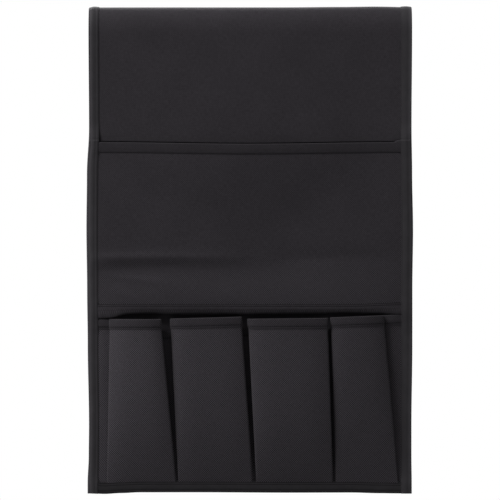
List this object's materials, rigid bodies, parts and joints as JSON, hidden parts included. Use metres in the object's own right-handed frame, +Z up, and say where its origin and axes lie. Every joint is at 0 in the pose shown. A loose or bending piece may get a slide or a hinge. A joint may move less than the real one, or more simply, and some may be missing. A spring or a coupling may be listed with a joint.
{
  "type": "sofa armrest organizer",
  "caption": "Black woven cloth organizer that hangs folded over a sofa armrest, with a wide magazine pocket above upright pleated pockets for remote controls.",
  "frame": {"origin": "middle of the underside of the fold's flat crown, where an armrest carries it", "axes": "+X across the cloth to the right as seen from the front, -Y out of the front where the pockets are, +Z up"},
  "size_m": [0.32, 0.0627, 0.4806],
  "materials": {
    "main_cloth": "black plain-weave polyester, matt with a faint sheen",
    "pocket_cloth": "the same black plain-weave polyester, single layer, coarser to the eye",
    "binding_tape": "black ribbed binding tape, matt, folded over the edges and stitched"
  },
  "bodies": {
    "saddle": {"main_cloth_crown": "main_cloth", "left_side_tape_crown": "binding_tape", "right_side_tape_crown": "binding_tape"},
    "front_bend": {"main_cloth_front_bend": "main_cloth", "left_side_tape_front_bend": "binding_tape", "right_side_tape_front_bend": "binding_tape"},
    "back_bend": {"main_cloth_back_bend": "main_cloth", "left_side_tape_back_bend": "binding_tape", "right_side_tape_back_bend": "binding_tape"},
    "front_flap": {"main_cloth_front": "main_cloth", "left_side_tape_front": "binding_tape", "right_side_tape_front": "binding_tape", "bottom_tape_front": "binding_tape", "magazine_pocket_cloth": "pocket_cloth", "magazine_pocket_mouth_tape": "binding_tape", "magazine_pocket_bottom_tape": "binding_tape", "pocket_strip_hem": "pocket_cloth", "pocket_strip_left_land": "pocket_cloth", "pocket_strip_right_land": "pocket_cloth", "pocket_divider_1": "pocket_cloth", "pocket_divider_2": "pocket_cloth", "pocket_divider_3": "pocket_cloth", "remote_pocket_1_left_gusset": "pocket_cloth", "remote_pocket_1_right_gusset": "pocket_cloth", "remote_pocket_2_left_gusset": "pocket_cloth", "remote_pocket_2_right_gusset": "pocket_cloth", "remote_pocket_3_left_gusset": "pocket_cloth", "remote_pocket_3_right_gusset": "pocket_cloth", "remote_pocket_4_left_gusset": "pocket_cloth", "remote_pocket_4_right_gusset": "pocket_cloth"},
    "back_flap": {"main_cloth_back_upper": "main_cloth", "left_side_tape_back_upper": "binding_tape", "right_side_tape_back_upper": "binding_tape"},
    "back_tail": {"main_cloth_back_lower": "main_cloth", "left_side_tape_back_lower": "binding_tape", "right_side_tape_back_lower": "binding_tape", "bottom_tape_back": "binding_tape"},
    "remote_pocket_1": {"remote_pocket_1_face": "pocket_cloth", "remote_pocket_1_mouth_tape": "binding_tape"},
    "remote_pocket_2": {"remote_pocket_2_face": "pocket_cloth", "remote_pocket_2_mouth_tape": "binding_tape"},
    "remote_pocket_3": {"remote_pocket_3_face": "pocket_cloth", "remote_pocket_3_mouth_tape": "binding_tape"},
    "remote_pocket_4": {"remote_pocket_4_face": "pocket_cloth", "remote_pocket_4_mouth_tape": "binding_tape"}
  },
  "joints": [
    {"name": "front_flap_swing", "type": "hinge", "parent": "saddle", "child": "front_bend", "pos_m": [0, -0.01013, -0.00041], "axis": [-1, 0, 0], "range_deg": [0, 45], "deforming": ["main_cloth_front_bend", "left_side_tape_front_bend", "right_side_tape_front_bend"]},
    {"name": "front_fold_unroll", "type": "hinge", "parent": "front_bend", "child": "front_flap", "pos_m": [0, -0.01879, -0.00907], "axis": [-1, 0, 0], "range_deg": [0, 45], "deforming": ["main_cloth_front_bend", "left_side_tape_front_bend", "right_side_tape_front_bend"]},
    {"name": "back_flap_swing", "type": "hinge", "parent": "saddle", "child": "back_bend", "pos_m": [0, 0.01013, -0.00041], "axis": [1, 0, 0], "range_deg": [0, 45], "deforming": ["main_cloth_back_bend", "left_side_tape_back_bend", "right_side_tape_back_bend"]},
    {"name": "back_fold_unroll", "type": "hinge", "parent": "back_bend", "child": "back_flap", "pos_m": [0, 0.01879, -0.00907], "axis": [1, 0, 0], "range_deg": [0, 45], "deforming": ["main_cloth_back_bend", "left_side_tape_back_bend", "right_side_tape_back_bend"]},
    {"name": "back_tail_fold", "type": "hinge", "parent": "back_flap", "child": "back_tail", "pos_m": [0, 0.0184, -0.2392], "axis": [1, 0, 0], "range_deg": [-90, 0]},
    {"name": "remote_pocket_1_open", "type": "hinge", "parent": "front_flap", "child": "remote_pocket_1", "pos_m": [0, -0.0221, -0.4683], "axis": [1, 0, 0], "range_deg": [-4, 8], "stiffness_Nm_per_rad": 0.5, "deforming": ["remote_pocket_1_left_gusset", "remote_pocket_1_right_gusset"]},
    {"name": "remote_pocket_2_open", "type": "hinge", "parent": "front_flap", "child": "remote_pocket_2", "pos_m": [0, -0.0221, -0.4683], "axis": [1, 0, 0], "range_deg": [-4, 8], "stiffness_Nm_per_rad": 0.5, "deforming": ["remote_pocket_2_left_gusset", "remote_pocket_2_right_gusset"]},
    {"name": "remote_pocket_3_open", "type": "hinge", "parent": "front_flap", "child": "remote_pocket_3", "pos_m": [0, -0.0221, -0.4683], "axis": [1, 0, 0], "range_deg": [-4, 8], "stiffness_Nm_per_rad": 0.5, "deforming": ["remote_pocket_3_left_gusset", "remote_pocket_3_right_gusset"]},
    {"name": "remote_pocket_4_open", "type": "hinge", "parent": "front_flap", "child": "remote_pocket_4", "pos_m": [0, -0.0221, -0.4683], "axis": [1, 0, 0], "range_deg": [-4, 8], "stiffness_Nm_per_rad": 0.5, "deforming": ["remote_pocket_4_left_gusset", "remote_pocket_4_right_gusset"]}
  ],
  "couplings": [
    {"joint": "front_fold_unroll", "follows": "front_flap_swing", "ratio": 1},
    {"joint": "back_fold_unroll", "follows": "back_flap_swing", "ratio": 1},
    {"joint": "back_tail_fold", "follows": "back_flap_swing", "ratio": -2}
  ]
}
